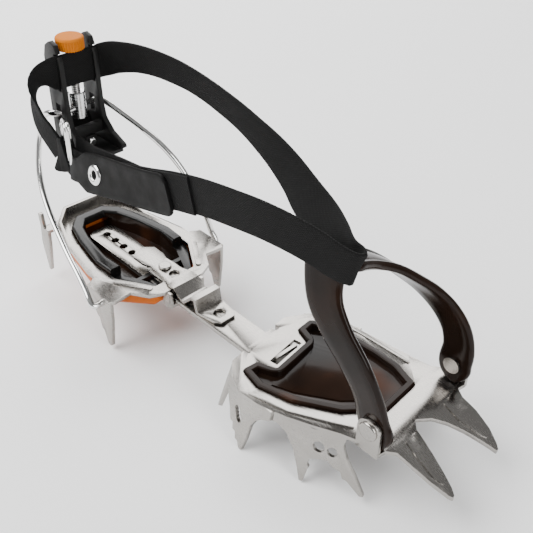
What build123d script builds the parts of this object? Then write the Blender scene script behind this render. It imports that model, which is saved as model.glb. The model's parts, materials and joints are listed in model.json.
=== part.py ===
"""One crampon with heel lever and strap: stamped front and heel sections joined by a sliding centre bar.

Working frame, millimetres: +X towards the toe along the centre bar, +Z up, z = 0 on the front deck's top.
Everything moves at the end so that the origin is below the middle of the part, on the ground.
"""
import os
from math import cos, hypot, radians, sin

from build123d import *

os.makedirs("parts", exist_ok=True)

# Sheet and wire
FRONT_SHEET = 2.2
HEEL_SHEET = 2.2
BAR_THICK = 2.6
BAR_WIDTH = 19.0
BAIL_R = 1.9
RING_R = 1.2
WEB_THICK = 1.6
WEB_WIDTH = 20.0

# Front section, in its own frame, turned a little on the centre bar
FRONT_TURN = 8.2
FRONT_SHIFT = 3.5
DECK_REAR = -16.0
DECK_FRONT = 78.0
TIP_X = 116.0
TIP_DROP = 13.5

# Toe posts and arms, in the working frame: one axis square to the bar
POST_X = 74.7
POST_MIDDLE = 21.2
POST_HALF = 34.0
POST_TOP = 17.6
RIVET_Z = 11.5
RIVET_R = 2.5
ARM_HALF = 31.6
ARM_THICK = 4.2

# Centre bar
BAR_TOP = -3.4
BAR_REAR = -169.0
HOLE_PITCH = 9.2
HOLE_FIRST = -160.0
HOLE_R = 2.6

# Heel section
RIM_TOP = 2.2
BAIL_X = -105.5
BAIL_Z = -5.5
LOCK_RIVET_X = -98.0

# Lever
LEVER_X = -175.0
CROSSBAR_Z = 82.0
LEVER_HALF = 13.0
RAIL_THICK = 3.0
ROD_R = 2.5
BARREL_R = 5.0
WHEEL_R = 8.2
WHEEL_LOW = 118.4
WHEEL_HIGH = 7.2
KNURLS = 32

nodes = {}


# ---------------------------------------------------------------- helpers
def outline_of(points, radius):
    """A closed outline, its corners rounded when a radius is given."""
    return FilletPolyline(*points, radius=radius, close=True) if radius else Polyline(*points, close=True)


def plate(points, low, high, radius=0.0):
    """A flat plate from z = low to z = high with the given plan outline."""
    outline = outline_of(points, radius)
    return Pos(0, 0, low) * extrude(make_face(outline), amount=high - low)


def profile(points, low, high, radius=0.0):
    """A side outline in X and Z, extruded from y = low to y = high."""
    outline = outline_of(points, radius)
    return extrude(Plane.XZ.offset(-low) * make_face(outline), amount=-(high - low))


def mirrored(points):
    """A half outline at positive y, given from front to rear, made whole; y = 0 is kept at true corners."""
    ends = [p for p, q in ((points[0], points[1]), (points[-1], points[-2])) if p[1] == 0 and p[0] == q[0]]
    half = [p for p in points if p not in ends]
    return half + [(x, -y) for x, y in reversed(half) if y > 0]


def both_sides(solid):
    """The solid and its mirror image across the XZ plane."""
    return solid + mirror(solid, about=Plane.XZ)


def rod_y(radius, x, z, low, high):
    """A round rod along Y."""
    return Pos(x, (low + high) / 2, z) * Rot(90, 0, 0) * Cylinder(radius, high - low)


def rod_z(radius, x, y, low, high):
    """A round rod along Z."""
    return Pos(x, y, (low + high) / 2) * Cylinder(radius, high - low)


def block(x0, x1, y0, y1, z0, z1):
    """A box between two corners."""
    return Pos((x0 + x1) / 2, (y0 + y1) / 2, (z0 + z1) / 2) * Box(x1 - x0, y1 - y0, z1 - z0)


def offset_line(points, shift):
    """An open plan line moved sideways by shift, to the left of its direction."""
    moved = []
    for i, (x, y) in enumerate(points):
        x0, y0 = points[max(i - 1, 0)]
        x1, y1 = points[min(i + 1, len(points) - 1)]
        run = hypot(x1 - x0, y1 - y0)
        moved.append((x - (y1 - y0) / run * shift, y + (x1 - x0) / run * shift))
    return moved


def strip(points, thick):
    """The closed outline of an open line with a thickness."""
    return offset_line(points, thick / 2) + offset_line(points, -thick / 2)[::-1]


def webbing(path, width=WEB_WIDTH, thick=WEB_THICK):
    """A standing band of webbing along (x, y, z) points: its plan strip crossed with its side band."""
    plan = strip([(x, y) for x, y, z in path], thick)
    side = [(x, z + width / 2) for x, y, z in path] + [(x, z - width / 2) for x, y, z in reversed(path)]
    tall = plate(plan, -60, 200)
    return tall & profile(side, -80, 80)


def in_front_frame(solid):
    """From the front section's own frame to the working frame."""
    return Pos(0, FRONT_SHIFT, 0) * Rot(0, 0, FRONT_TURN) * solid


# ---------------------------------------------------------------- front section
OPENING = [
    (69, 22.5), (67.5, -3.5), (50.3, -18.5), (27, -28.4), (7, -31), (-7.5, -26), (-5, -16), (6, -13.5),
    (6, 13.5), (-4, 18), (-3.5, 29), (9, 33.6), (22, 34), (41, 32.4), (55, 29.6),
]
NEAR_POINT = [
    (84, -3.5), (94.5, -8.4), (105, -13.2), (111.5, -16.6), (114, -18.6), (114.2, -20), (112, -21.2),
    (103, -22.6),
    (93, -22.8), (84, -22),
]
FAR_POINT = [
    (91, 31.8), (100, 30.6), (109, 27.6), (115.5, 23.6), (117.6, 21.6), (117.2, 20.2), (110, 18),
    (101, 15.2),
    (93, 12), (86, 8),
]


def deck_outline():
    """Plan of the deck with both front points and post roots; the near side runs in towards the toe."""
    near = [(79.5, -25), (77.9, -29.9), (64.7, -28), (57, -29.4), (43, -33.8), (30, -37.2),
        (14.7, -39.4), (0.3, -38.4),
            (-9, -31.5), (DECK_REAR, -23.5)]
    rear = [(DECK_REAR, -14), (-12.5, -13.6), (-12.5, -10.6), (DECK_REAR, -10.2),
        (DECK_REAR, 10.2), (-12.5, 10.6),
            (-12.5, 13.6), (DECK_REAR, 14)]
    far = [(DECK_REAR, 22.5), (-7.4, 33.8), (0, 38), (16.8, 40.9), (38.9, 39.4), (55, 38.8),
        (68.5, 40), (75, 43.6),
           (88.3, 41.7), (86.5, 35)]
    return [(80.3, 1.5)] + NEAR_POINT + near + rear + far + FAR_POINT


def side_plate(start, end, outline, splay, holes, side):
    """A plate hanging from a deck edge: outline in (distance along the edge, height); side is +1 far, -1 near."""
    run = Vector(end[0] - start[0], end[1] - start[1], 0).normalized()
    outward = Vector(-run.Y, run.X, 0)
    lean = radians(splay)
    up = Vector(0, 0, 1) * cos(lean) - outward * sin(lean)
    plane = Plane(origin=(start[0], start[1], -0.4), x_dir=run, z_dir=run.cross(up))
    face = make_face(FilletPolyline(*outline, radius=0.5, close=True))
    for s, z, r in holes:
        face -= Pos(s, z) * Circle(r)
    solid = extrude(plane * face, amount=FRONT_SHEET)
    return solid if side > 0 else mirror(solid, about=Plane.XZ)


FRONT_TEETH = [
    (-1, 0.4), (47, 0.4), (43.6, -1.8), (42.7, -6), (45.7, -13.4), (51, -21.2), (57, -31.5), (54.6, -31.8),
    (47, -25.4), (44.8, -25.2), (43.2, -21.3), (38.9, -20.5), (36.5, -17.8), (31.3, -18.6),
    (26.9, -20.4), (25.9, -24.5),
    (27, -26), (26.1, -28.3), (24.9, -35.6), (23, -35.6), (20.4, -26.1), (17.8, -18.2),
    (13.1, -10.1), (7, -6.2), (-1, -5),
]
REAR_TEETH = [
    (0, 0.4), (34, 0.4), (34, -5), (28.5, -8), (24.5, -12), (21.7, -17.8), (20.7, -26.9),
    (18.6, -36.4), (16.6, -36.4),
    (14.6, -33), (12.6, -32.8), (11.6, -29), (9.4, -28.6), (8.6, -24.6), (6.6, -24.4),
    (4.6, -18.5), (2.6, -14), (0, -8),
]
CORNER_TOOTH = [(0.5, 0.4), (9.5, 0.4), (8.5, -10), (6.6, -28), (4.6, -28), (1.5, -10)]


def point_band(rise):
    """Side band of deck and front points, curving down towards the tips; rise lifts its top."""
    edges = []
    for dx, dz in ((0, rise), (-0.8, -FRONT_SHEET)):
        flat = Line((-20 + dx, dz), (DECK_FRONT - 6 + dx, dz))
        bend = [
            (DECK_FRONT - 6 + dx, dz), (90 + dx, dz - 1.9), (103 + dx, dz - 6.4),
            (TIP_X + 2 + dx, dz - TIP_DROP),
        ]
        edges += [flat, Spline(*bend, tangents=[(1, 0), (1, -0.6)])]
    edges += [Line(edges[0] @ 0, edges[2] @ 0), Line(edges[1] @ 1, edges[3] @ 1)]
    return extrude(Plane.XZ.offset(60) * make_face(edges), amount=-120)


def make_front_frame():
    """Deck with front points, side plates with the other eight points, and the two toe posts."""
    body = plate(deck_outline(), -30, 10, 0.9) & point_band(0)
    body -= plate(OPENING, -8, 4, 2.5)
    body -= block(-0.5, 4.5, -11, 11, -5, 5)
    near_ridge = [(84, -6), (97, -12), (107, -17), (109, -19.5), (103, -20), (92, -17.5), (84, -14)]
    far_ridge = [(86, 20), (96, 17.6), (108, 19.4), (112, 21.6), (106, 25.2), (96, 27.6), (86, 27)]
    for ridge in (near_ridge, far_ridge):
        body += plate(ridge, -20, 5, 1.2) & point_band(0.8)
    body += plate(strip([(6, -36.4), (28, -34), (48, -27), (60, -22)], 2.2), -1, 0.7, 0.9)
    body += plate(strip([(6, 38), (26, 38.4), (58, 34.4)], 2.2), -1, 0.7, 0.9)
    holes = [(30.6, -11.6, 3.1), (37.7, -12, 2.7)]
    slot = [(10.2, -14.6, 1.9), (11, -16.4, 1.9), (11.8, -18.2, 1.9), (12.6, -20, 1.9)]
    for side, middle, corner, rear in (
        (-1, (18, 38.8), (64.7, 27.8), (-10, 32)),
        (1, (18, 40.8), (66, 39.6), (-9.5, 32.6)),
    ):
        body += side_plate(middle, corner, FRONT_TEETH, 12, holes, side)
        body += side_plate(rear, middle, REAR_TEETH, 12, slot, side)
        body += side_plate((DECK_REAR, 22.8), (-9, 31), CORNER_TOOTH, 17, [], side)
        body += block(DECK_REAR - 0.1, -12.5, side * 15 - 1, side * 15 + 1, -6.5, 0)
    body = in_front_frame(body)
    for side in (-1, 1):
        y = sorted((POST_MIDDLE + side * POST_HALF, POST_MIDDLE + side * (POST_HALF + FRONT_SHEET)))
        post = block(POST_X - 6.7, POST_X + 6.7, y[0], y[1], -3.2, POST_TOP)
        post = fillet(post.edges().filter_by(Axis.Y).group_by(Axis.Z)[-1], 6)
        body += post - rod_y(RIVET_R, POST_X, RIVET_Z, y[0] - 3, y[1] + 3)
    return body


def make_front_plate():
    """Moulded plate below the deck with a raised ring inside the opening and a curved groove."""
    opening = make_face(FilletPolyline(*OPENING, radius=2.5, close=True))
    flange = Pos(0, 0, -4.8) * extrude(offset(opening, 0.5), amount=2.4)
    ring = Pos(0, 0, -2.4) * extrude(offset(opening, -0.6) - offset(opening, -4.4), amount=4.0)
    ring = fillet(ring.edges().group_by(Axis.Z)[-1], 0.9)
    groove = plate(strip([(61, 4), (44, -10), (22, -20), (10, -23)], 1.6), -3.1, -1)
    body = flange + ring - groove
    body -= block(-10, 7, -14.6, 14.6, -6, 3)
    return in_front_frame(body)


def toe_arm(front_curve, lean_curve, width):
    """A moulded arm: a curved band seen from the front, crossed with the leaning one seen from the side."""
    line = strip(front_curve, ARM_THICK)
    band = extrude(Plane.YZ * make_face(smooth_band(line)), amount=200)
    band = Pos(-20, 0, 0) * band
    half = width / 2
    side = [(x - half, z) for x, z in lean_curve] + [(x + half, z) for x, z in reversed(lean_curve)]
    return band & profile(side, -60, 80, 2)


def smooth_band(line):
    """A closed outline through the given points with straight ends and smooth long sides."""
    half = len(line) // 2
    first, second = line[:half], line[half:]
    return [Spline(*first), Line(first[-1], second[0]), Spline(*second), Line(second[-1], first[0])]


def make_toe_arms():
    """Near and far arms with a rivet bore at the foot; they lean back and close over the toe."""
    near_y = POST_MIDDLE - ARM_HALF
    far_y = POST_MIDDLE + ARM_HALF
    near_front = [(near_y, 3), (near_y, 18), (-11.8, 30), (-14.3, 44), (-15.6, 58), (-14.2, 69),
        (-11.5, 77)]
    near_lean = [(76, 3), (74, 16), (70, 28), (61, 44), (50.7, 58), (43, 69), (39.5, 77)]
    far_front = [(far_y, 3), (far_y, 18), (52.4, 32), (50, 43), (44.5, 53), (36.5, 61.5),
        (27.5, 69), (16, 75.5), (5, 80.5)]
    far_lean = [(77, 3), (76, 16), (72, 30), (66, 42), (58, 53), (50, 62), (43.5, 70), (39, 79), (38, 90)]
    arms = []
    for front_curve, lean_curve, y in ((near_front, near_lean, near_y), (far_front, far_lean, far_y)):
        arm = toe_arm(front_curve, lean_curve, 22)
        arms.append(arm - rod_y(RIVET_R + 0.05, POST_X, RIVET_Z, y - 6, y + 6))
    return arms


def make_toe_rivets():
    """Two round-headed rivets through post and arm."""
    shank = rod_y(RIVET_R, POST_X, RIVET_Z, 28.5, POST_HALF + 3)
    outer = rod_y(5.2, POST_X, RIVET_Z, POST_HALF + FRONT_SHEET, POST_HALF + FRONT_SHEET + 1.6)
    outer = fillet(outer.edges().filter_by(GeomType.CIRCLE).sort_by(Axis.Y)[-1], 1.2)
    inner = rod_y(4.6, POST_X, RIVET_Z, 27.8, 29.2)
    return Pos(0, POST_MIDDLE, 0) * both_sides(shank + outer + inner)


# ---------------------------------------------------------------- centre bar
def make_bar():
    """Flat bar with a round rear end, a row of size holes and a hook that stands in the front slot."""
    half = BAR_WIDTH / 2
    low = BAR_TOP - BAR_THICK
    plan = [(-8, half), (-8, 12.5), (3, 12.5), (3, -5.5), (-3, -half), (BAR_REAR, -half), (BAR_REAR, half)]
    bar = plate(plan, low, BAR_TOP)
    bar = fillet(bar.edges().filter_by(Axis.Z).group_by(Axis.X)[0], 6)
    bar += block(1.0, 3.0, -4.0, 11.5, low, 0.9)
    for k in range(12):
        bar -= rod_z(HOLE_R, HOLE_FIRST + HOLE_PITCH * k, 0, low - 1, BAR_TOP + 1)
    for k in (0, 1, 3):
        x = HOLE_FIRST + HOLE_PITCH * k
        bar -= block(x, x + HOLE_PITCH, -0.5, 0.5, low - 1, BAR_TOP + 1)
    return bar


# ---------------------------------------------------------------- heel section
RIM = [
    (-80, 0), (-80, 14), (-84, 22.5), (-106, 36), (-128, 36), (-157, 30.5), (-176, 25),
    (-189, 13), (-189, 0),
]
RIM_INNER = [
    (-103, 0), (-103, 8.4), (-88.5, 8.4), (-88.5, 14.4), (-110, 27.5), (-130, 28.5), (-155, 24),
    (-172, 19), (-181, 10.5), (-181, 0),
]


def make_heel_frame():
    """Rim, rear wall, bar guides, two front points with bail holes and two rear points with ears."""
    rim = plate(mirrored(RIM), 0, RIM_TOP, 1.5) - plate(mirrored(RIM_INNER), -1, 4, 1.5)
    rear_run = [(-157, 29.4), (-176, 23.9), (-187.9, 12.6), (-187.9, -12.6), (-176, -23.9), (-157, -29.4)]
    wall = plate(strip(rear_run, HEEL_SHEET), 0, 10)
    cap = profile([(-190, 0), (-190, 9.5), (-175, 9), (-157, 1.8), (-156, 0)], -40, 40)
    rim += wall & cap
    bead = plate(strip([(-87.5, 17.5), (-108, 30.8)], 3.4), 1, RIM_TOP + 0.9, 1.2)
    rim += both_sides(bead)
    corner = [(-118, 33), (-94, 27), (-92.5, 41), (-96, 43), (-116, 43), (-120, 37)]
    shoulder = plate(corner, 0, RIM_TOP, 1.5)
    tine = profile(
        [(-118, 2.1), (-94, 2.1), (-94.5, -12), (-97.5, -33), (-99.5, -34.2), (-101.5, -33),
         (-104, -25), (-106, -24), (-107.5, -17), (-109.5, -16), (-113, -9)],
        40.8, 43.0, 0.6,
    )
    tine -= rod_y(BAIL_R + 0.06, BAIL_X, BAIL_Z, 38, 46)
    rim += both_sides(shoulder + tine)
    link = block(-188, -181, 15, 30.4, 0, RIM_TOP)
    rear = profile(
        [(-190.5, 12), (-187, 12), (-186, 2), (-181, 2), (-182, -10), (-185.5, -31),
         (-187.5, -31), (-191, -10), (-189.5, 2)],
        28.4, 30.6, 0.6,
    )
    guide = block(-84, -77, 10.6, 12.8, -9.2, 1.5) + block(-84, -77, 6.0, 12.8, -9.2, -7.2)
    rim += both_sides(link + rear + guide)
    rim -= rod_z(2.0, LOCK_RIVET_X, 0, -1, 4)
    return rim


def make_heel_plate():
    """Dark inner dish: a floor below the bar, a thick rounded lip inside the rim, low and ribbed at the front."""
    outer = mirrored([
        (-90.4, 0), (-90.4, 14), (-110, 26.8), (-130, 27.9), (-155, 23.4), (-171.6, 18.5), (-180.4, 10),
        (-180.4, 0),
    ])
    inner = mirrored([
        (-94.2, 0), (-94.2, 11.6), (-112, 19.5), (-130, 20.6), (-152, 17), (-166, 12.8), (-173, 7), (-173, 0),
    ])
    lip = plate(outer, -9.5, 5.4, 1.5) - plate(inner, -7.4, 8, 1.5)
    lip = fillet(lip.edges().group_by(Axis.Z)[-1], 1.6)
    lip -= block(-116, -88, -30, 30, -0.4, 8)
    lip += block(-105, -102, -21, 21, -8, -0.4)
    lip -= block(-110, -88, -10.4, 10.4, -7.4, -2.8) + block(-98, -88, -10.4, 10.4, -3, 2)
    return lip - block(-182, -150, -10.4, 10.4, -7.4, 0.5)


def make_heel_base():
    """Orange base moulding that shows below the rim, with one arm reaching each front point."""
    outline = mirrored([
        (-87, 0), (-87, 17), (-106, 33.6), (-128, 34), (-157, 28.6), (-176, 22.5), (-186, 11), (-186, 0),
    ])
    hollow = mirrored([
        (-90, 0), (-90, 14.5), (-107, 28.8), (-130, 29.8), (-155, 25.2), (-172, 20), (-182.2, 10.4),
        (-182.2, 0),
    ])
    base = plate(outline, -12.5, -0.3, 2)
    base = fillet(base.edges().group_by(Axis.Z)[0], 6) - plate(hollow, -9.8, 2, 2)
    base -= block(-92, -80, -10.6, 10.6, -7.2, 2)
    base += both_sides(block(-110, -107.8, 28, 40.4, -8.6, -6.2))
    return base


def make_lock_plate():
    """Leaf spring on the rim: rear paddle, riveted middle, folded ridge and a pull tab lying on the bar."""
    top = 4.0
    side = [
        (-124, top), (-78, top), (-71.5, -0.6), (-69.5, -0.6), (-62.5, 6.4), (-58.2, 6.4), (-56.8, -1.3),
        (-40.6, -1.3), (-40.6, -2.8), (-58.4, -2.8), (-60, 4.6), (-62, 4.6), (-69, -2.2),
        (-72, -2.2), (-79, 2.6),
        (-124, 2.6),
    ]
    plan = [
        (-123.5, 3), (-119, 8), (-110, 8), (-105, 6.2), (-98, 6.6), (-90, 7.2), (-83, 9.3),
        (-56, 9.3), (-44, 7.5),
        (-40.6, 5),
    ]
    leaf = profile(side, -20, 20) & plate(mirrored(plan), -6, 12, 0.8)
    leaf -= rod_z(3.3, -89, 0, 0, 8)
    leaf -= rod_z(3.6, -48, 0, -6, 3)
    leaf -= rod_z(2.4, LOCK_RIVET_X, 0, 0, 8)
    return leaf


def make_lock_rivet():
    """Rivet with a low domed head and a washer face below the rim."""
    head = rod_z(3.9, LOCK_RIVET_X, 0, 4.4, 5.6)
    head = fillet(head.edges().sort_by(Axis.Z)[-1], 0.8)
    return head + rod_z(1.95, LOCK_RIVET_X, 0, -1.0, 4.5) + rod_z(3.6, LOCK_RIVET_X, 0, -1.0, -0.1)


# ---------------------------------------------------------------- bail and lever
BAIL_ROUTE = [
    (BAIL_X, -38.2, BAIL_Z), (BAIL_X, -47.6, BAIL_Z), (-128, -43, 8), (-163, -34.5, 22), (-186, -27, 42),
    (-190, -18.5, 66), (LEVER_X, -17.2, CROSSBAR_Z), (LEVER_X, 17.2, CROSSBAR_Z), (-160, 23, 73),
    (-139, 34, 62),
    (-120, 42, 36), (-109, 47, 8), (BAIL_X, 47.6, BAIL_Z), (BAIL_X, 38.2, BAIL_Z),
]
BAIL_BENDS = [3.0, 14, 40, 26, 16, 4.2, 4.2, 20, 22, 30, 24, 3.0]


def make_bail():
    """One wire: two feet hooked through the front heel points and a crossbar that carries the lever."""
    path = FilletPolyline(*BAIL_ROUTE, radius=BAIL_BENDS)
    section = Plane(origin=path @ 0, z_dir=path % 0) * Circle(BAIL_R)
    return sweep(section, path=path)


def make_barrel():
    """Steel barrel that turns on the crossbar and takes the threaded rod from above."""
    barrel = rod_z(BARREL_R, LEVER_X, 0, 76, 92)
    barrel -= rod_y(BAIL_R + 0.06, LEVER_X, CROSSBAR_Z, -8, 8)
    barrel -= rod_z(ROD_R + 0.06, LEVER_X, 0, 84.5, 94)
    top_edges = barrel.edges().group_by(Axis.Z)[-1].filter_by(GeomType.CIRCLE)
    return chamfer(top_edges.sort_by(SortBy.LENGTH)[-1], 0.5)


def make_lever():
    """Two rails with slots for crossbar and webbing, a bridge for the rod, and the claw at the foot."""
    rail_side = [
        (-183, 115), (-180.5, 122), (-176, 125), (-171, 123.5), (-167.6, 115), (-166.8, 84),
        (-165, 75), (-158, 68),
        (-146.5, 63.4), (-146.5, 61), (-164, 57), (-179, 57), (-183, 63),
    ]
    rails = both_sides(profile(rail_side, LEVER_HALF - RAIL_THICK, LEVER_HALF, 1.2))
    rails -= both_sides(block(LEVER_X - 2.4, LEVER_X + 2.4, 5, 20, 76.4, 87.6))
    rails -= both_sides(block(-172.0, -168.6, 5, 20, 96.8, 119))
    floor = block(-178, -150, -LEVER_HALF + 0.5, LEVER_HALF - 0.5, 57.2, 59.6)
    cross = block(-169.5, -166.4, -LEVER_HALF + 0.5, LEVER_HALF - 0.5, 66, 72.5)
    back = block(-182.8, -180.6, -LEVER_HALF + 0.5, LEVER_HALF - 0.5, 60, 74)
    bridge = block(-180.5, -171.8, -LEVER_HALF + 0.5, LEVER_HALF - 0.5, 104.5, 108.5)
    bridge -= rod_z(ROD_R + 0.06, LEVER_X, 0, 100, 112)
    seat = block(-168, -164, -3.4, 3.4, 59, 66.5)
    lever = rails + floor + cross + back + bridge + seat
    return lever - Pos(-165, 0, 62.8) * Rot(0, 90, 0) * Cylinder(1.7, 8)


def make_claw_screw():
    """Small screw with a round head in the seat below the cross rib."""
    head = Pos(-163.0, 0, 62.8) * Rot(0, 90, 0) * Cylinder(2.9, 1.8)
    head = fillet(head.edges().filter_by(GeomType.CIRCLE).sort_by(Axis.X)[-1], 1.2)
    return head + Pos(-165.6, 0, 62.8) * Rot(0, 90, 0) * Cylinder(1.65, 4.6)


def make_rod():
    """Threaded rod, drawn plain, with the collar that holds it below the bridge."""
    return rod_z(ROD_R, LEVER_X, 0, 88.4, 124) + rod_z(3.9, LEVER_X, 0, 102.4, 104.3)


def make_wheel():
    """Knurled thumb wheel on top of the rod."""
    wheel = rod_z(WHEEL_R, LEVER_X, 0, WHEEL_LOW, WHEEL_LOW + WHEEL_HIGH)
    wheel = fillet(wheel.edges().sort_by(Axis.Z)[-1], 1.5)
    for k in range(KNURLS):
        a = radians(360 * k / KNURLS)
        x, y = LEVER_X + WHEEL_R * cos(a), WHEEL_R * sin(a)
        wheel -= rod_z(0.45, x, y, WHEEL_LOW - 1, WHEEL_LOW + WHEEL_HIGH - 1.7)
    wheel += rod_z(3.1, LEVER_X, 0, 108.8, WHEEL_LOW)
    return wheel - rod_z(ROD_R, LEVER_X, 0, 100, 124)


# ---------------------------------------------------------------- strap
NEAR_RUN = [
    (-148, -23, 61), (-125, -26, 67.5), (-97, -28, 76), (-62, -28.5, 87), (-26, -28.5, 97),
    (-2, -28, 101.5),
    (16, -26, 103), (32, -22.5, 101), (44, -18.5, 97), (52, -15.5, 93.5),
]
FAR_RUN = [
    (-150, 19, 117), (-118, 24, 118.5), (-90, 25.5, 117), (-54, 22, 113), (-16, 14, 107), (5, 7, 102),
    (24, 0, 98.5), (40, -6, 95.5), (50, -9.5, 93),
]
CUTS = [-146, -105, -40, 0, 60]
CUT_GAP = 0.5
EYELET_AT = (-117, -28.8, 69)
EYELET_TURN = -4.1


def span(k):
    """Both runs of webbing between two cuts, a hair short at each end so that the spans can part."""
    window = block(CUTS[k] + CUT_GAP, CUTS[k + 1] - CUT_GAP, -90, 90, 0, 190)
    return (webbing(NEAR_RUN) + webbing(FAR_RUN)) & window


def make_rear_loop():
    """The webbing where it is threaded through the lever's rails."""
    through = block(LEVER_X + 3.9, LEVER_X + 3.9 + WEB_THICK, -LEVER_HALF - 1, LEVER_HALF + 1, 97.8, 117.8)
    far = webbing([(-170.3, 13.6, 107.8), (-166, 17, 109), (-158, 18.6, 114), (-150.6, 19, 118.5)])
    near = webbing([(-170.3, -13.6, 107.8), (-173, -19, 106.5), (-176, -23, 104)])
    return through + far + near


def make_tab():
    """Smooth tab on the outer side of the near run, with a round hole for the eyelet."""
    path = [(x, y - 2.2, z) for x, y, z in NEAR_RUN if -140 < x < -50]
    tab = webbing([(-145, -25.6, 61.5)] + path, 19, 2.0)
    return tab - Pos(EYELET_AT) * Rot(90, 0, EYELET_TURN) * Cylinder(3.3, 12)


def make_tail():
    """Folded end of the webbing lying on the near run."""
    return webbing([(-58, -30.7, 88.1), (-30, -30.7, 95.9)], 19, 1.4)


def make_eyelet():
    """Flanged ring through the tab."""
    ring = Pos(0, 0, 1.9) * Cylinder(5.6, 0.9)
    neck = Pos(0, 0, 0.4) * Cylinder(3.0, 2.4)
    return Pos(EYELET_AT) * Rot(90, 0, EYELET_TURN) * (ring + neck - Cylinder(2.5, 8))


def make_d_ring(centre, tilt):
    """Rounded wire loop as tall as the webbing is wide."""
    path = FilletPolyline((-12.5, -4.2), (12.5, -4.2), (12.5, 4.2), (-12.5, 4.2), radius=3.9, close=True)
    section = Plane(origin=path @ 0, z_dir=path % 0) * Circle(RING_R)
    return Pos(*centre) * Rot(0, tilt, 0) * sweep(section, path=path)


# ---------------------------------------------------------------- all nodes
nodes["front_frame"] = make_front_frame()
nodes["front_antiball_plate"] = make_front_plate()
nodes["toe_rivets"] = make_toe_rivets()
nodes["near_toe_arm"], nodes["far_toe_arm"] = make_toe_arms()
nodes["centre_bar"] = make_bar()
nodes["heel_frame"] = make_heel_frame()
nodes["heel_antiball_plate"] = make_heel_plate()
nodes["heel_base"] = make_heel_base()
nodes["lock_plate"] = make_lock_plate()
nodes["lock_rivet"] = make_lock_rivet()
nodes["lock_pin"] = rod_z(2.2, -69, 0, -3.1, -2.25)
nodes["heel_bail"] = make_bail()
nodes["pivot_barrel"] = make_barrel()
nodes["heel_lever"] = make_lever()
nodes["claw_screw"] = make_claw_screw()
nodes["adjuster_rod"] = make_rod()
nodes["thumb_wheel"] = make_wheel()
nodes["strap_rear_loop"] = make_rear_loop()
nodes["strap_buckle_span"] = span(0)
nodes["strap_middle_span"] = span(1)
nodes["strap_toe_span"] = span(2)
nodes["strap_front_wrap"] = span(3)
nodes["strap_tail"] = make_tail()
nodes["strap_tab"] = make_tab()
nodes["tab_eyelet"] = make_eyelet()
nodes["upper_d_ring"] = make_d_ring((-159.5, -20.5, 70), 38)
nodes["lower_d_ring"] = make_d_ring((-162, -20.5, 66.6), 38)

boxes = [part.bounding_box() for part in nodes.values()]
low = [min(tuple(box.min)[i] for box in boxes) for i in range(3)]
high = [max(tuple(box.max)[i] for box in boxes) for i in range(3)]
to_ground = Pos(-(low[0] + high[0]) / 2, -(low[1] + high[1]) / 2, -low[2])
print("moved to the ground by", [round(v, 3) for v in to_ground.position])
for name, part in nodes.items():
    export_step(to_ground * part, f"parts/{name}.step")
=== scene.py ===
"""Looks of a crampon: satin stainless sections, glossy mouldings, chrome wire and woven webbing."""
import json
import math

import bmesh
import bpy
from mathutils import Matrix, Vector


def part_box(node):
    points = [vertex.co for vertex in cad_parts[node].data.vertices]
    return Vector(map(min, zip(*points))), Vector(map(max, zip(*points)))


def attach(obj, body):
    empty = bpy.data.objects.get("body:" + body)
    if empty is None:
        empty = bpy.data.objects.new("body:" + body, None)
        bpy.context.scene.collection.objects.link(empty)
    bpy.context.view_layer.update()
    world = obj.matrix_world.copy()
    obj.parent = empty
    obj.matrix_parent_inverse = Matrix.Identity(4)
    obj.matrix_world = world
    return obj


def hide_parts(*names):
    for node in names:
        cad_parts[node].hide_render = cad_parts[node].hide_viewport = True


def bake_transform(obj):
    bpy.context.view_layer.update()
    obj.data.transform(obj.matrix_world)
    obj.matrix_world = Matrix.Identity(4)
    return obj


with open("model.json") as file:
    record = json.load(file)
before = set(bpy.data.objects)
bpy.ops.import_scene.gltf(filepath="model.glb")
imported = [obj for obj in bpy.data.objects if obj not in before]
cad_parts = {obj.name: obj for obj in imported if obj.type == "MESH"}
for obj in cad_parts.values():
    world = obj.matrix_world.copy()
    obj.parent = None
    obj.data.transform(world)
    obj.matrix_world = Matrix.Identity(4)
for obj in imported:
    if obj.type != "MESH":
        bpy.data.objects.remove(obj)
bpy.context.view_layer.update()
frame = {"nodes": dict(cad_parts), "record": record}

# ---------------------------------------------------------------- places taken from the frame
# Points and sizes of pieces are in millimetres in the working frame of the CAD: +X to the toe and
# z = 0 on the deck. Its origin is found from the lever's pivot barrel.
MM = 0.001
BARREL_X, BARREL_FOOT = -175, 76
BARREL_LOW, BARREL_HIGH = (Vector(corner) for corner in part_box("pivot_barrel"))
ORIGIN = Vector((
    (BARREL_LOW.x + BARREL_HIGH.x) / 2 - BARREL_X * MM,
    (BARREL_LOW.y + BARREL_HIGH.y) / 2,
    BARREL_LOW.z - BARREL_FOOT * MM,
))

WEB_WIDTH, WEB_THICK = 20.0, 1.7
TAB_WIDTH, TAB_THICK = 22.5, 1.9
ARM_WIDTH, ARM_THICK = 18.5, 4.0
BAIL_RADIUS, RING_RADIUS, RING_CORNER = 1.9, 1.25, 4.0
HOLE_RADIUS = 2.6

STEP = 1.5
FINE_STEP = 1.2
TUBE_SIDES, TURNED_SIDES = 14, 48
BEVEL_SEGMENTS, SHARP_ANGLE, FLAT_ANGLE = 2, 35, 2
WELD_DISTANCE = 2e-6


def at(x, y, z):
    """A point of the working frame, in metres in the shared frame."""
    return ORIGIN + Vector((x, y, z)) * MM


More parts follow.
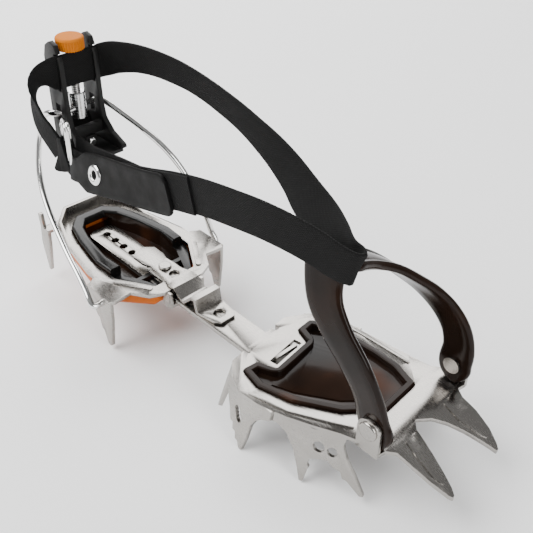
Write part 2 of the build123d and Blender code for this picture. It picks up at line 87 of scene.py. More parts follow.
# ---------------------------------------------------------------- materials
class Nodes:
    """Short names for building one material's node tree."""

    def __init__(self, name, rough=0.4, metallic=0.0, **sockets):
        self.material = bpy.data.materials.new(name)
        self.material.use_nodes = True
        self.tree = self.material.node_tree
        self.shader = self.tree.nodes["Principled BSDF"]
        self.shader.inputs["Roughness"].default_value = rough
        self.shader.inputs["Metallic"].default_value = metallic
        for key, value in sockets.items():
            self.shader.inputs[key.replace("_", " ")].default_value = value
        self.coordinates = self.tree.nodes.new("ShaderNodeTexCoord")

    def node(self, kind, **values):
        made = self.tree.nodes.new(kind)
        for key, value in values.items():
            if key in made.inputs:
                made.inputs[key].default_value = value
            else:
                setattr(made, key, value)
        return made

    def link(self, source, target):
        self.tree.links.new(source, target)

    def stretched(self, scale, space="Object"):
        """Texture coordinates scaled by a different factor along each axis."""
        mapping = self.node("ShaderNodeMapping")
        mapping.inputs["Scale"].default_value = scale
        self.link(self.coordinates.outputs[space], mapping.inputs["Vector"])
        return mapping.outputs["Vector"]

    def noise(self, scale, detail=4.0, rough=0.55, vector=None):
        made = self.node("ShaderNodeTexNoise", Scale=scale, Detail=detail, Roughness=rough)
        self.link(vector or self.coordinates.outputs["Object"], made.inputs["Vector"])
        return made.outputs["Fac"]

    def ramp(self, factor, stops):
        made = self.node("ShaderNodeValToRGB")
        while len(made.color_ramp.elements) < len(stops):
            made.color_ramp.elements.new(0.5)
        for element, (place, colour) in zip(made.color_ramp.elements, stops):
            element.position = place
            element.color = (*colour, 1)
        self.link(factor, made.inputs["Fac"])
        return made.outputs["Color"]

    def level(self, factor, low, high, out_low, out_high):
        """The factor's range from low to high, stretched to the range from out_low to out_high."""
        made = self.node("ShaderNodeMapRange")
        limits = {"From Min": low, "From Max": high, "To Min": out_low, "To Max": out_high}
        for key, value in limits.items():
            made.inputs[key].default_value = value
        self.link(factor, made.inputs["Value"])
        return made.outputs["Result"]

    def maths(self, operation, a, b=None):
        made = self.node("ShaderNodeMath", operation=operation)
        for socket, value in zip(made.inputs, (a, b)):
            if isinstance(value, (int, float)):
                socket.default_value = value
            elif value is not None:
                self.link(value, socket)
        return made.outputs["Value"]

    def mix(self, factor, a, b):
        made = self.node("ShaderNodeMix", data_type="RGBA")
        self.link(factor, made.inputs["Factor"])
        for socket, value in ((made.inputs[6], a), (made.inputs[7], b)):
            if isinstance(value, tuple):
                socket.default_value = (*value, 1)
            else:
                self.link(value, socket)
        return made.outputs[2]

    def colour(self, source):
        self.link(source, self.shader.inputs["Base Color"])

    def roughness(self, source):
        self.link(source, self.shader.inputs["Roughness"])

    def bump(self, height, strength, distance):
        made = self.node("ShaderNodeBump", Strength=strength, Distance=distance)
        self.link(height, made.inputs["Height"])
        self.link(made.outputs["Normal"], self.shader.inputs["Normal"])


def stainless():
    """Satin sheet: rolling grain, faint clouds and fine scratches."""
    m = Nodes("stainless", rough=0.26, metallic=1.0)
    clouds = m.noise(35, 3)
    grain = m.noise(1, 6, 0.65, m.stretched((300, 2400, 900)))
    scratch = m.noise(1, 2, 0.5, m.stretched((3500, 180, 700)))
    base = m.mix(clouds, (0.30, 0.284, 0.264), (0.44, 0.42, 0.395))
    m.colour(m.mix(m.level(scratch, 0.62, 0.72, 0, 0.35), base, (0.20, 0.19, 0.18)))
    m.roughness(m.level(m.maths("ADD", clouds, grain), 0.7, 1.3, 0.19, 0.34))
    m.bump(m.maths("ADD", m.maths("MULTIPLY", grain, 0.6), scratch), 0.16, 0.00008)
    return m.material


def wire():
    """Bright drawn wire, with faint streaks."""
    m = Nodes("chrome_wire", rough=0.12, metallic=1.0)
    streak = m.noise(1, 3, 0.5, m.stretched((500, 500, 60)))
    m.colour(m.mix(streak, (0.72, 0.715, 0.70), (0.86, 0.855, 0.845)))
    m.roughness(m.level(streak, 0.3, 0.7, 0.08, 0.2))
    m.bump(streak, 0.08, 0.00004)
    return m.material


def dark_steel():
    """Turned steel of the pivot barrel and the lock pin."""
    m = Nodes("plain_steel", rough=0.24, metallic=1.0)
    turned = m.noise(1, 3, 0.5, m.stretched((120, 120, 3000)))
    m.colour(m.mix(turned, (0.60, 0.60, 0.60), (0.80, 0.80, 0.795)))
    m.roughness(m.level(turned, 0.3, 0.7, 0.14, 0.3))
    m.bump(turned, 0.15, 0.00005)
    return m.material


def moulded(name, dark, light, rough, grain_scale, grain_depth, coat=0.0):
    """A moulded plastic with soft clouds in its colour and a fine grain."""
    m = Nodes(name, rough=rough, Coat_Weight=coat, Coat_Roughness=0.06, Specular_IOR_Level=0.2)
    clouds = m.noise(45, 3)
    grain = m.noise(grain_scale, 2)
    m.colour(m.mix(clouds, dark, light))
    mottle = m.maths("ADD", clouds, m.maths("MULTIPLY", grain, 0.4))
    m.roughness(m.level(mottle, 0.4, 1.0, rough * 0.8, rough * 1.3))
    m.bump(grain, 0.25, grain_depth)
    return m.material


def brown_gloss():
    """Glossy dark brown of the arms and dishes: deep cloudy colour and mould ripples."""
    m = Nodes("brown_gloss", rough=0.2, Specular_IOR_Level=0.13)
    clouds = m.noise(26, 2)
    ripple = m.noise(90, 2, 0.4)
    dark, middle, light = (0.006, 0.004, 0.003), (0.016, 0.008, 0.005), (0.06, 0.020, 0.008)
    m.colour(m.ramp(clouds, [(0.3, dark), (0.58, middle), (0.78, light)]))
    m.roughness(m.level(clouds, 0.3, 0.7, 0.1, 0.2))
    m.bump(ripple, 0.25, 0.0004)
    return m.material


def webbing():
    """Black woven webbing: weft floats along the band, offset by half a float from row to row; the colour is
    lighter on the raised floats and darker in the hollows, a painted highlight and painted shade, with
    lighter worn fuzz.
    """
    m = Nodes("webbing", rough=0.85, Specular_IOR_Level=0.2)
    # dark is the painted shade in the weave's hollows, light the painted highlight on its raised floats
    dark, light = (0.0015, 0.0015, 0.0015), (0.010, 0.0098, 0.0095)
    warp_pitch, weft_pitch = 1.15 * MM, 1.3 * MM
    uv = m.stretched((1, 1, 1), "UV")
    parts = m.node("ShaderNodeSeparateXYZ")
    m.link(uv, parts.inputs["Vector"])
    along, across = parts.outputs["X"], parts.outputs["Y"]
    warp_turn = m.maths("MULTIPLY", across, 2 * math.pi / warp_pitch)
    row = m.maths("MULTIPLY", m.maths("SIGN", m.maths("SINE", warp_turn)), math.pi / 2)
    weft = m.maths("SINE", m.maths("ADD", m.maths("MULTIPLY", along, 2 * math.pi / weft_pitch), row))
    warp = m.maths("ABSOLUTE", m.maths("SINE", warp_turn))
    height = m.maths("MULTIPLY", m.maths("ADD", m.maths("MULTIPLY", weft, 0.5), 0.5), warp)
    fuzz = m.noise(5000, 2)
    worn_fuzz = m.maths("MULTIPLY", fuzz, m.noise(60, 3))
    # Colour follows the weave's height: painted shade in the hollows between the yarns, painted highlight on
    # the raised floats, plus lighter worn fuzz.
    shade = m.maths("ADD", m.maths("MULTIPLY", height, 0.75), m.maths("MULTIPLY", worn_fuzz, 0.5))
    m.colour(m.ramp(shade, [(0.1, dark), (0.9, light)]))
    m.bump(m.maths("ADD", height, m.maths("MULTIPLY", fuzz, 0.4)), 0.75, 0.00028)
    return m.material


def tab_skin():
    """Smooth coated fabric of the pull tab, with a fine pebble and soft dents; the colour is darker down in
    the dents, a painted shade.
    """
    m = Nodes("tab_skin", rough=0.62, Specular_IOR_Level=0.08)
    pebble = m.noise(2200, 2)
    dents = m.noise(90, 3)
    # Colour follows the dents: darker down in them, a painted shade.
    m.colour(m.mix(dents, (0.003, 0.003, 0.003), (0.007, 0.0068, 0.0065)))
    m.roughness(m.level(dents, 0.3, 0.7, 0.46, 0.64))
    m.bump(m.maths("ADD", m.maths("MULTIPLY", pebble, 0.3), dents), 0.3, 0.0003)
    return m.material


def thread_steel():
    """Threaded rod: the thread is a fine band pattern up the rod, in the bump and in the colour, with painted
    shade in its grooves and painted highlight on its crests.
    """
    m = Nodes("threaded_rod", rough=0.28, metallic=1.0)
    pitch, bands_per_scale = 1.25 * MM, 3.1
    bands = 1.0 / (pitch * bands_per_scale)
    wave = m.node("ShaderNodeTexWave", wave_type="BANDS", bands_direction="Z", Scale=bands)
    m.link(m.coordinates.outputs["Object"], wave.inputs["Vector"])
    # Dark bands are painted shade in the thread's grooves, light bands painted highlight on its crests.
    m.colour(m.mix(wave.outputs["Fac"], (0.30, 0.29, 0.28), (0.72, 0.70, 0.68)))
    m.bump(wave.outputs["Fac"], 0.8, 0.0004)
    return m.material


def pale_floor():
    """Plain matt floor, almost white."""
    m = Nodes("pale_floor", rough=0.85)
    m.colour(m.mix(m.noise(3, 2), (0.95, 0.95, 0.95), (0.97, 0.97, 0.968)))
    return m.material


STAINLESS = stainless()
WIRE = wire()
STEEL = dark_steel()
THREAD = thread_steel()
BLACK = moulded("black_moulding", (0.003, 0.003, 0.003), (0.008, 0.007, 0.006), 0.26, 1600, 0.00006, 0.1)
LEVER = moulded("lever_moulding", (0.004, 0.004, 0.004), (0.010, 0.0095, 0.009), 0.44, 2600, 0.00012)
ORANGE = moulded("orange_moulding", (0.47, 0.09, 0.0005), (0.55, 0.12, 0.001), 0.42, 1500, 0.00014)
WHEEL = moulded("orange_wheel", (0.50, 0.125, 0.0005), (0.60, 0.18, 0.001), 0.6, 1100, 0.0007)
BROWN = brown_gloss()
WEB = webbing()
TAB = tab_skin()
FLOOR = pale_floor()


# ---------------------------------------------------------------- mesh helpers
def new_object(name, mesh, material):
    made = bpy.data.objects.new(name, mesh)
    bpy.context.scene.collection.objects.link(made)
    mesh.materials.clear()
    mesh.materials.append(material)
    return made


def joint_slope(rise1, run1, rise2, run2):
    """Slope where two chords meet; the shorter chord counts for more."""
    return rise1 / run1 * (run2 / (run1 + run2)) + rise2 / run2 * (run1 / (run1 + run2))


def hermite(t, start, start_slope, end, end_slope):
    """Value at t from 0 to 1 on the cubic with those ends and slopes."""
    rise = 3 * t**2 - 2 * t**3
    return (1 - rise) * start + (t**3 - 2 * t**2 + t) * start_slope + rise * end + (t**3 - t**2) * end_slope


def path_length(samples):
    return sum(math.dist(a[:3], b[:3]) for a, b in zip(samples, samples[1:]))


def through(points, step=STEP):
    """Evenly spaced samples of a smooth curve through tuples of any length; the first three are x, y, z."""
    padded = [points[0]] + list(points) + [points[-1]]
    fine = []
    for p0, p1, p2, p3 in zip(padded, padded[1:], padded[2:], padded[3:]):
        chords = ((p0, p1), (p1, p2), (p2, p3))
        before, length, after = (max(math.dist(p[:3], q[:3]), 1e-6) for p, q in chords)
        count = max(4, math.ceil(length / step * 4))
        for i in range(count):
            t = i / count
            point = []
            for a, b, c, d in zip(p0, p1, p2, p3):
                slope1 = length * joint_slope(b - a, before, c - b, length)
                slope2 = length * joint_slope(c - b, length, d - c, after)
                point.append(hermite(t, b, slope1, c, slope2))
            fine.append(point)
    fine.append(list(points[-1]))
    samples, travelled = [fine[0]], 0.0
    for a, b in zip(fine, fine[1:]):
        travelled += math.dist(a[:3], b[:3])
        if travelled >= step:
            samples.append(b)
            travelled = 0.0
    if math.dist(samples[-1][:3], fine[-1][:3]) > step * 0.3:
        samples.append(fine[-1])
    else:
        samples[-1] = fine[-1]
    return samples


def band_section(width, thick, ridge=0.0, groove=0.0):
    """A closed flat section with round edges, as (across, out) pairs.

    A ridge and then a groove can run along both edges of its outer face.
    """
    half, t = width / 2, thick / 2
    rim_end, groove_line, field_start = (-half + share * width for share in (0.16, 0.2, 0.24))
    side = [(-half + t, t + ridge), (rim_end, t + ridge), (groove_line, t - groove), (field_start, t)]
    outer = side + [(0.0, t)] + [(-across, out) for across, out in reversed(side)]
    inner = [(across, -t) for across in (half - t, half / 3, -half / 3, -half + t)]
    right = [(half - t + t * math.cos(a), t * math.sin(a)) for a in (0.9, 0.3, -0.3, -0.9)]
    left = [(-half + t - t * math.cos(a), t * math.sin(a)) for a in (-0.9, -0.3, 0.3, 0.9)]
    return outer + right + inner + left


def sweep(name, samples, section, material, scale=None, first=0, last=None):
    """A band along samples (x, y, z, ux, uy, uz), from the first to the last of them that are asked for.

    u is the direction of its width. scale(s) returns its width factor.
    """
    mesh = bpy.data.meshes.new(name)
    work = bmesh.new()
    layer = work.loops.layers.uv.new("UVMap")
    rings, marks, travelled = [], [], 0.0
    last = len(samples) - 1 if last is None else last
    for i, sample in enumerate(samples):
        centre = Vector(sample[:3])
        before, after = Vector(samples[max(i - 1, 0)][:3]), Vector(samples[min(i + 1, len(samples) - 1)][:3])
        tangent = (after - before).normalized()
        travelled += (centre - Vector(samples[max(i - 1, 0)][:3])).length
        if not first <= i <= last:
            continue
        across = Vector(sample[3:6])
        across = (across - tangent * across.dot(tangent)).normalized()
        out = tangent.cross(across)
        factor = scale(travelled) if scale else 1.0
        ring = []
        for a, b in section:
            ring.append(work.verts.new(at(*(centre + across * a * factor + out * b))))
        rings.append(ring)
        marks.append((travelled * MM, factor))
    size = len(section)
    for i in range(len(rings) - 1):
        for k in range(size):
            n = (k + 1) % size
            face = work.faces.new((rings[i][k], rings[i][n], rings[i + 1][n], rings[i + 1][k]))
            face.smooth = True
            corners = ((i, k), (i, n), (i + 1, n), (i + 1, k))
            for loop, (row, col) in zip(face.loops, corners):
                loop[layer].uv = (marks[row][0], section[col][0] * marks[row][1] * MM)
    for end in (rings[0], rings[-1][::-1]):
        for edge in work.faces.new(end).edges:
            edge.smooth = False
    bmesh.ops.recalc_face_normals(work, faces=work.faces)
    work.to_mesh(mesh)
    work.free()
    return new_object(name, mesh, material)


def tube(name, points, radius, material, closed=False):
    """A round wire along points; its cross direction is carried along without twist."""
    places = [Vector(point) for point in points]
    count = len(places)
    mesh = bpy.data.meshes.new(name)
    work = bmesh.new()
    turns = [2 * math.pi * k / TUBE_SIDES for k in range(TUBE_SIDES)]
    side, rings = Vector((1, 0, 0)), []
    for i, centre in enumerate(places):
        if closed:
            tangent = (places[(i + 1) % count] - places[i - 1]).normalized()
        else:
            tangent = (places[min(i + 1, count - 1)] - places[max(i - 1, 0)]).normalized()
        side = (side - tangent * side.dot(tangent)).normalized()
        other = tangent.cross(side)
        spokes = [side * math.cos(turn) + other * math.sin(turn) for turn in turns]
        rings.append([work.verts.new(at(*(centre + spoke * radius))) for spoke in spokes])
    for i in range(count if closed else count - 1):
        ring, following = rings[i], rings[(i + 1) % count]
        for k in range(TUBE_SIDES):
            n = (k + 1) % TUBE_SIDES
            work.faces.new((ring[k], ring[n], following[n], following[k])).smooth = True
    if not closed:
        work.faces.new(rings[0])
        work.faces.new(list(reversed(rings[-1])))
    bmesh.ops.recalc_face_normals(work, faces=work.faces)
    work.to_mesh(mesh)
    work.free()
    return new_object(name, mesh, material)


def rounded_copy(name, node, material, bevel):
    """A copy of a CAD node's mesh with its sharp edges rounded; it stands for the node."""
    source = frame["nodes"][node]
    made = new_object(name, source.data.copy(), material)
    made.matrix_world = source.matrix_world.copy()
    apply_round(made, bevel)
    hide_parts(node)
    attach(made, body_of_node(node))
    return made


def apply_round(made, bevel):
    """Merge, bevel the sharp edges and shade smooth, applied to the mesh."""
    work = bmesh.new()
    work.from_mesh(made.data)
    bmesh.ops.remove_doubles(work, verts=work.verts, dist=WELD_DISTANCE)
    bmesh.ops.dissolve_limit(work, angle_limit=math.radians(FLAT_ANGLE), verts=work.verts, edges=work.edges)
    for face in work.faces:
        face.smooth = True
    work.to_mesh(made.data)
    work.free()
    modifier = made.modifiers.new("round", "BEVEL")
    modifier.width = bevel
    modifier.segments = BEVEL_SEGMENTS
    modifier.limit_method = "ANGLE"
    modifier.angle_limit = math.radians(SHARP_ANGLE)
    modifier.harden_normals = True
    bake(made)


def bake(made):
    """Apply an object's modifiers to its mesh."""
    graph = bpy.context.evaluated_depsgraph_get()
    mesh = bpy.data.meshes.new_from_object(made.evaluated_get(graph), depsgraph=graph)
    made.modifiers.clear()
    made.data = mesh


def body_of_node(node):
    """The moving body that a CAD node belongs to."""
    for body, names in frame["record"]["behaviour"]["bodies"].items():
        if node in names:
            return body
    raise ValueError(node)


def paint(node, material):
    """A carried-over CAD node gets its material."""
    data = frame["nodes"][node].data
    data.materials.clear()
    data.materials.append(material)


# ---------------------------------------------------------------- strap
# A strap point is (x, y, z, ux, uy, uz), where u is the direction of the band's width.
REAR_NEAR = [
    (-170.5, 0, 108, 0, 0, 1), (-170.5, -10, 108, 0, 0, 1), (-171.5, -17, 107.5, 0.1, 0, 1),
    (-174.5, -23, 103.5, 0.45, -0.2, 0.9), (-176.5, -26, 96, 0.8, -0.3, 0.5),
    (-176, -26.5, 87, 0.95, -0.2, 0.2), (-173, -25.5, 78, 0.95, 0, 0.3), (-168, -24, 70.5, 0.85, 0, 0.5),
    (-162.5, -22.6, 64, 0.8, 0, 0.6),
]
REAR_FAR = [
    (-170.5, 0, 108, 0, 0, 1), (-170, 10, 108, 0, 0, 1), (-168.5, 15, 108.6, 0, 0, 1),
    (-163, 18.5, 111, 0, -0.1, 0.99), (-150, 21.5, 114.4, 0, -0.25, 0.97), (-134, 24, 116.4, 0, -0.3, 0.95),
    (-118, 25.4, 116.8, 0, -0.3, 0.95),
]
FAR_MIDDLE = [
    (-118, 25.4, 116.8, 0, -0.3, 0.95), (-104, 25.9, 116.6, 0, -0.3, 0.95),
    (-90, 25.6, 115.6, 0, -0.28, 0.96), (-75, 24.4, 114.2, 0, -0.24, 0.97), (-60, 22.6, 112.6, 0, -0.2, 0.98),
]
FAR_TOE = [
    (-60, 22.6, 112.6, 0, -0.2, 0.98), (-50, 21, 111.4, 0, -0.15, 0.99), (-36, 18.4, 109.2, 0, -0.05, 1),
    (-20, 15, 106.4, 0.05, 0.1, 0.99),
]
FRONT_LOOP = [
    (-20, 15, 106.4, 0.05, 0.1, 0.99), (-6, 11.4, 103, 0.12, 0.25, 0.95), (8, 6.5, 99.4, 0.22, 0.42, 0.85),
    (24, 1, 96.4, 0.28, 0.5, 0.75), (38, -4.5, 94.4, 0.28, 0.3, 0.85), (48, -7.6, 93.2, 0.25, 0, 0.96),
    (54.6, -9.6, 92.6, 0.28, 0, 0.95), (56, -11.6, 92.6, 0.3, 0, 0.95), (54.4, -13.8, 93.2, 0.3, 0, 0.95),
    (48.7, -16.6, 95, 0.28, 0, 0.95), (40.3, -19.6, 98.6, 0.2, 0, 0.97), (31.9, -22.6, 101.4, 0.12, 0, 0.98),
    (16, -26.4, 103.6, 0, 0, 1), (-2.4, -28.4, 102.4, 0, 0, 1), (-20, -28.7, 99.4, 0, 0, 1),
]
NEAR_TOE = [(-20, -28.7, 99.4, 0, 0, 1), (-40, -28.7, 94.4, 0, 0, 1), (-60, -28.6, 88, 0, 0, 1)]
NEAR_MIDDLE = [
    (-60, -28.6, 88, 0, 0, 1), (-80, -28.4, 82, 0, 0, 1), (-97, -28, 76.6, 0, 0, 1),
    (-113, -27, 71.6, 0, 0, 1), (-130, -25.2, 66.4, 0, 0, 1), (-146, -23, 62.5, 0.1, 0, 1),
    (-156, -21, 61, 0.3, 0, 0.95), (-162, -19.5, 61.5, 0.5, 0, 0.85),
]
INNER_LAYER = [
    (-150, -19, 70, 0.25, 0.1, 1), (-142, -19.6, 69.5, 0.15, 0.15, 1), (-130, -21.6, 71, 0.05, 0.2, 1),
    (-114, -23.8, 75, 0, 0.15, 1), (-97, -25.6, 79, 0, 0.1, 1), (-84, -26.8, 82, 0, 0.05, 1),
    (-72, -28, 84.6, 0, 0, 1),
]
RING_FOLD = [
    (-150, -20, 68.5, 0.3, 0, 0.95), (-155.5, -20.4, 66.5, 0.35, 0, 0.93), (-159, -21.6, 65.2, 0.4, 0, 0.91),
    (-160.2, -23.4, 64.8, 0.4, 0, 0.91), (-159, -25.4, 65.2, 0.4, 0, 0.91),
    (-155.5, -26.6, 66.5, 0.35, 0, 0.93), (-148.5, -27, 69, 0.3, 0, 0.95),
]
TAB_PATH = [
    (-143.5, -27.6, 63.6, 0.2, 0.1, 0.98), (-139, -28.4, 64.8, 0.1, 0.14, 0.98),
    (-128, -29.2, 68, 0, 0.2, 0.98), (-113, -29.7, 72.6, 0, 0.22, 0.97),
    (-95, -30.3, 77.4, 0, 0.12, 0.99), (-78, -31, 81.6, 0, 0.04, 1),
    (-62, -31.9, 86, 0, 0, 1), (-45, -32.2, 91, 0, 0, 1),
]
TAIL_PATH = [(-60, -30.3, 88.2, 0, 0, 1), (-46, -30.3, 92.6, 0, 0, 1), (-30, -30.2, 96.9, 0, 0, 1)]


STRAP_ROUTE = (
    REAR_NEAR[::-1] + REAR_FAR[1:] + FAR_MIDDLE[1:] + FAR_TOE[1:] + FRONT_LOOP[1:] + NEAR_TOE[1:]
    + NEAR_MIDDLE[1:]
)


def lever_blend(piece):
    """Bakes the placement of a piece between the lever and the buckle into its mesh."""
    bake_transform(piece)


def length_blend(piece):
    """Bakes the placement of a piece along the crampon into its mesh."""
    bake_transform(piece)


def middle_blend(piece):
    length_blend(piece)


def make_strap():
    """The webbing, one long band cut into pieces that meet edge to edge."""
    section = band_section(WEB_WIDTH, WEB_THICK)
    samples = through(STRAP_ROUTE)

    def cut_at(point):
        return min(range(len(samples)), key=lambda i: math.dist(samples[i][:3], point[:3]))

    cuts = [cut_at(route[0]) for route in (REAR_FAR, FAR_MIDDLE, FAR_TOE, FRONT_LOOP, NEAR_TOE, NEAR_MIDDLE)]
    names = ("rear_near", "rear_far", "far_middle", "far_toe", "front_loop", "near_toe", "near_middle")
    parts = {}
    for name, first, last in zip(names, [0, *cuts], [*cuts, len(samples) - 1]):
        parts[name] = sweep(f"strap_{name}", samples, section, WEB, first=first, last=last)

    lever_blend(parts["rear_near"])
    lever_blend(parts["rear_far"])
    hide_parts("strap_rear_loop")
    middle_blend(parts["far_middle"])
    middle_blend(parts["near_middle"])
    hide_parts("strap_buckle_span", "strap_middle_span")
    for name in ("far_toe", "near_toe"):
        length_blend(parts[name])
    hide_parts("strap_toe_span")
    length_blend(parts["front_loop"])
    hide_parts("strap_front_wrap")

    inner = sweep("strap_inner_layer", through(INNER_LAYER), band_section(WEB_WIDTH - 1, 1.4), WEB)
    middle_blend(inner)
    fold = sweep("strap_ring_fold", through(RING_FOLD, 0.8), section, WEB)
    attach(fold, "buckle")
    tail = sweep("strap_folded_tail", through(TAIL_PATH), band_section(WEB_WIDTH - 0.4, 1.3), WEB)
    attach(tail, "strap_middle")
    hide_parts("strap_tail")


def tab_scale(length):
    """Width factor along a tab of that length: a narrow neck, a wide body and a rounded outer end."""
    neck_share, neck_length, flare = 0.62, 10, 10
    end_share, end_length = 0.65, 6

    def factor(s):
        neck = neck_share + (1 - neck_share) * min(1, max(0, (s - neck_length) / flare))
        inward = 1 - min(length - s, end_length) / end_length
        return neck * (end_share + (1 - end_share) * math.sqrt(max(0.0, 1 - inward ** 2)))
    return factor


def make_tab():
    """Smooth pull tab that lies over the near strap and its folded tail."""
    samples = through(TAB_PATH, 1.0)
    section = band_section(TAB_WIDTH, TAB_THICK)
    tab = sweep("pull_tab", samples, section, TAB, tab_scale(path_length(samples)))
    middle_blend(tab)
    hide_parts("strap_tab")


def turned_ring(name, centre, axis, profile, material):
    """A ring turned from (radius, out) pairs about an axis through a point of the working frame."""
    mesh = bpy.data.meshes.new(name)
    work = bmesh.new()
    axis = Vector(axis).normalized()
    side = axis.cross(Vector((0, 0, 1))).normalized()
    up = side.cross(axis)
    rings = []
    for k in range(TURNED_SIDES):
        a = 2 * math.pi * k / TURNED_SIDES
        spoke = side * math.cos(a) + up * math.sin(a)
        rings.append([work.verts.new(at(*(Vector(centre) + spoke * r + axis * o))) for r, o in profile])
    for k in range(TURNED_SIDES):
        ring, other = rings[k], rings[(k + 1) % TURNED_SIDES]
        for j in range(len(profile)):
            n = (j + 1) % len(profile)
            work.faces.new((ring[j], ring[n], other[n], other[j])).smooth = True
    bmesh.ops.recalc_face_normals(work, faces=work.faces)
    work.to_mesh(mesh)
    work.free()
    return new_object(name, mesh, material)


def make_eyelet():
    """Rolled flange of the eyelet, and a dark disc that closes its hole, standing in for the black strap
    behind it and painted shade in the hole.
    """
    profile = [
        (HOLE_RADIUS, -1.2), (HOLE_RADIUS, 0.6), (3.0, 1.1), (3.8, 1.35), (4.9, 1.15), (5.7, 0.6),
        (5.9, 0.0), (5.5, -0.3), (3.4, -0.3), (3.2, -1.2),
    ]
    disc_top, disc_foot, disc_bore, disc_overlap = -0.2, -1.0, 0.02, 0.02
    disc_rim = HOLE_RADIUS + disc_overlap
    disc = [(disc_bore, disc_top), (disc_rim, disc_top), (disc_rim, disc_foot), (disc_bore, disc_foot)]
    centre, out = (-113, -30.9, 73), (-0.03, -0.97, 0.22)
    ring = turned_ring("eyelet_flange", centre, out, profile, WIRE)
    middle_blend(ring)
    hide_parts("tab_eyelet")
    # A dark disc closes the eyelet's hole: the black strap behind it plus painted shade in the hole, in place
    # of the view through it.
    hole = turned_ring("eyelet_hole_shade_disc", centre, out, disc, TAB)
    middle_blend(hole)


# ---------------------------------------------------------------- wire parts
BAIL_NEAR = [
    (-190, -19.4, 66), (-189.6, -22.6, 56), (-187, -26, 45), (-180, -29.8, 35), (-168, -33.8, 25.4),
    (-152, -37.8, 16.6), (-137, -41.4, 10.6), (-124, -44, 5.4), (-114, -46, 0.2), (-108.6, -47.3, -3.4),
]
BAIL_FAR = [
    (-109.6, 46.8, 2.6), (-112.6, 45.6, 12.6), (-117, 43.4, 25), (-123.2, 40.4, 38), (-131, 37, 49.6),
    (-141, 32.6, 59.6), (-152, 27.4, 68), (-162, 22.8, 74.4),
]


def make_bail():
    """The heel wire: one smooth bend from foot to foot, straight where it goes through the barrel."""
    foot, low, tip = -105.5, -5.5, 38.2
    barrel_z, barrel_end = 82, 14.4
    near_foot = [
        (foot, -tip, low), (foot, -45.2, low), (foot - 0.3, -46.8, low + 0.1), (foot - 1.3, -47.5, low + 0.7),
    ]
    far_foot = [
        (foot - 1.2, 47.6, low + 2.6), (foot - 0.3, 47, low + 0.4), (foot, 45.4, low), (foot, tip, low),
    ]
    near_top = [
        (-188.4, -18, 73), (-184.6, -17.4, 78.6), (-179.8, -17, 81.2), (-176.4, -16.2, barrel_z),
        (BARREL_X, -barrel_end, barrel_z),
    ]
    far_top = [(BARREL_X, barrel_end, barrel_z), (-174, 16.4, 81.6), (-170.4, 18.6, 79.6)]
    route = near_foot + BAIL_NEAR[::-1] + near_top + far_top + BAIL_FAR[::-1] + far_foot
    bail = tube("bail_wire", through(route, FINE_STEP), BAIL_RADIUS, WIRE)
    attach(bail, "bail")
    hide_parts("heel_bail")


UPPER_RING = [(-158.5, -21, 86.5), (-144, -26, 90), (-141, -28, 66.5), (-156.5, -22.5, 61.5)]
LOWER_RING = [(-160.5, -20.6, 83.5), (-150, -24.2, 86.5), (-147.4, -25.8, 64), (-159, -21.8, 59.5)]


def ring_points(corners):
    """Closed run of points around the corners, each of them rounded by a parabola."""
    corners = [Vector(corner) for corner in corners]
    steps = 6
    run = []
    for i, corner in enumerate(corners):
        back = (corners[i - 1] - corner).normalized() * RING_CORNER
        ahead = (corners[(i + 1) % len(corners)] - corner).normalized() * RING_CORNER
        for t in (k / steps for k in range(steps + 1)):
            run.append(corner + back * (1 - t) ** 2 + ahead * t ** 2)
    return run


def make_rings():
    """Two wire rings of the buckle, as tall as the webbing is wide."""
    for name, node, corners in (
        ("buckle_ring_upper", "upper_d_ring", UPPER_RING),
        ("buckle_ring_lower", "lower_d_ring", LOWER_RING),
    ):
        ring = tube(name, ring_points(corners), RING_RADIUS, WIRE, closed=True)
        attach(ring, body_of_node(node))
        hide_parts(node)


# ---------------------------------------------------------------- toe arms
def round_end(distance, reach, least):
    """Width factor near an end that is rounded over that reach; it never falls below the root of least."""
    inward = 1 - min(distance, reach) / reach
    return math.sqrt(max(least, 1 - inward ** 2))


def arm_scale(length, foot, waist, top):
    """Half-round foot, slimmer waist and wider top, as factors of the section's width."""
    waist_start, waist_end = 0.3, 0.45

    def factor(s):
        t = s / length
        to_foot = max(0, 1 - t / waist_start) ** 2
        to_top = max(0, (t - waist_end) / (1 - waist_end)) ** 1.5
        width = waist + (foot - waist) * to_foot + (top - waist) * to_top
        return width * round_end(s, 11, 0.03) * round_end(length - s, 9, 0.05)
    return factor


NEAR_ARM = [
    (81, -10.2, 1.5, 0.86, 0, 0.5), (74.7, -10.4, 11.5, 0.87, 0, 0.5), (70.6, -11.8, 26, 0.92, 0, 0.36),
    (62, -14.4, 44, 0.86, 0.05, 0.5), (50.7, -15.8, 58.5, 0.83, 0.05, 0.55), (42, -14.6, 70, 0.9, 0.1, 0.42),
    (38.6, -12.4, 80, 1, 0.1, 0.2), (39, -11.2, 92, 1, 0.1, 0),
]
FAR_ARM = [
    (76.5, 52.8, 0.5, 1, 0, 0.1), (74.7, 52.8, 11.5, 1, 0, 0.1), (75, 52.9, 21, 1, 0, 0.05),
    (72.5, 52.6, 31, 0.97, 0, 0.2), (66.1, 50, 42.4, 0.93, 0, 0.3), (58.1, 44.5, 52.6, 0.94, 0, 0.25),
    (50.2, 36.5, 61.4, 0.97, 0, 0.15), (43.5, 27.5, 69.4, 1, 0, 0.05), (39.8, 16, 76.5, 1, 0, -0.05),
    (40, 4, 82.5, 1, 0, -0.05), (42, -8, 87, 1, 0, 0),
]


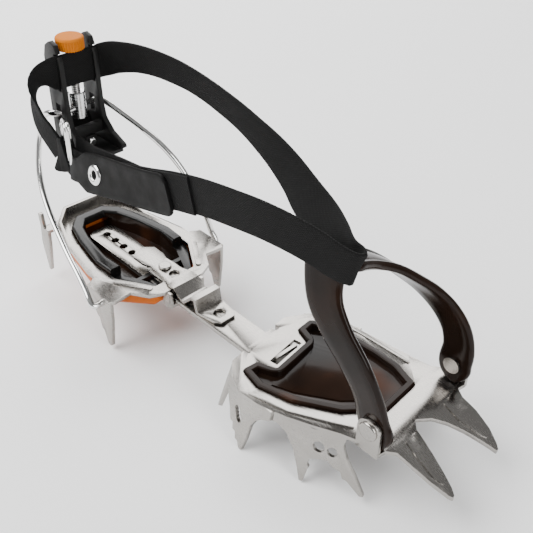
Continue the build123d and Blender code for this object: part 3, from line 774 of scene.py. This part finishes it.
def make_arms():
    """The two toe arms; a raised rim runs along both edges of each outer face."""
    section = band_section(ARM_WIDTH, ARM_THICK, ridge=0.35, groove=0.25)
    for name, points, node, body, widths in (
        ("toe_arm_near", NEAR_ARM, "near_toe_arm", "near_arm", (1.16, 0.96, 1.25)),
        ("toe_arm_far", FAR_ARM, "far_toe_arm", "far_arm", (1.1, 0.96, 1.1)),
    ):
        samples = through(points, FINE_STEP)
        arm = sweep(name, samples, section, BROWN, arm_scale(path_length(samples), *widths))
        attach(arm, body)
        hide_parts(node)


# ---------------------------------------------------------------- carried-over nodes and rounded copies
def colour_low_faces(made, material, height):
    """Faces below a height of the working frame take a second material."""
    made.data.materials.append(material)
    limit = at(0, 0, height).z
    for face in made.data.polygons:
        if (made.matrix_world @ face.center).z < limit:
            face.material_index = len(made.data.materials) - 1


def dress_cad():
    """Small nodes keep their CAD mesh and take a material; the large ones get a rounded copy."""
    below_rib = -0.6
    for node, material in (
        ("toe_rivets", STAINLESS), ("lock_rivet", STAINLESS), ("claw_screw", WIRE),
        ("pivot_barrel", STEEL), ("lock_pin", STEEL), ("adjuster_rod", THREAD),
    ):
        paint(node, material)
    for name, node, material, bevel, slot_name in (
        ("lever_body", "heel_lever", LEVER, 0.0007, "lever_plastic"),
        ("heel_base_moulding", "heel_base", ORANGE, 0.0007, "orange_abs"),
        ("front_section", "front_frame", STAINLESS, 0.0003, "stainless"),
        ("heel_section", "heel_frame", STAINLESS, 0.0005, "stainless"),
        ("bar", "centre_bar", STAINLESS, 0.0003, "stainless"),
        ("lock_spring", "lock_plate", STAINLESS, 0.0003, "stainless"),
        ("heel_dish", "heel_antiball_plate", BLACK, 0.0005, "black_abs"),
        ("front_dish", "front_antiball_plate", BROWN, 0.0003, "black_abs"),
        ("wheel_knob", "thumb_wheel", WHEEL, 0.0003, "orange_abs"),
    ):
        made = rounded_copy(name, node, material, bevel)
        if name == "heel_dish":
            colour_low_faces(made, BROWN, below_rib)


# ---------------------------------------------------------------- stage, light and camera
def area_light(name, place, size, power):
    """A rectangular softbox aimed at the middle of the part."""
    data = bpy.data.lights.new(name, "AREA")
    data.shape = "RECTANGLE"
    data.size, data.size_y = size
    data.energy = power
    lamp = bpy.data.objects.new(name, data)
    bpy.context.scene.collection.objects.link(lamp)
    lamp.location = place
    lamp.rotation_euler = (Vector((0, 0, 0.05)) - Vector(place)).to_track_quat("-Z", "Y").to_euler()


def make_stage():
    """Pale floor, dim even surroundings and three softboxes; the back one shows in the level steel."""
    mesh = bpy.data.meshes.new("floor")
    reach = 3.0
    corners = [(-reach, -reach, 0), (reach, -reach, 0), (reach, reach, 0), (-reach, reach, 0)]
    mesh.from_pydata(corners, [], [(0, 1, 2, 3)])
    floor = new_object("floor", mesh, FLOOR)

    world = bpy.data.worlds.new("studio")
    bpy.context.scene.world = world
    world.use_nodes = True
    world.node_tree.nodes["Background"].inputs["Color"].default_value = (0.93, 0.935, 0.94, 1)
    world.node_tree.nodes["Background"].inputs["Strength"].default_value = 0.34
    area_light("key", (-0.9, -0.9, 1.5), (1.9, 1.3), 66)
    area_light("back", (-1.0, 1.0, 1.15), (1.9, 1.2), 37)
    area_light("side", (1.6, -0.1, 0.8), (0.7, 1.2), 20)


def make_camera():
    """Looks down on the near side from beyond the toe."""
    right = Vector((0.68993, 0.72370, 0.01599))
    up = Vector((-0.43965, 0.40138, 0.80349))
    back = right.cross(up)
    place = ORIGIN + Vector((0.220997, -0.225844, 0.291608))
    data = bpy.data.cameras.new("camera")
    data.sensor_width = 36
    data.lens = 53.879
    data.clip_start = 0.01
    camera = bpy.data.objects.new("camera", data)
    bpy.context.scene.collection.objects.link(camera)
    turn = Matrix((right, up, back)).transposed().to_4x4()
    camera.matrix_world = Matrix.Translation(place) @ turn
    bpy.context.scene.camera = camera


dress_cad()
make_strap()
make_tab()
make_eyelet()
make_bail()
make_rings()
make_arms()
make_stage()
make_camera()
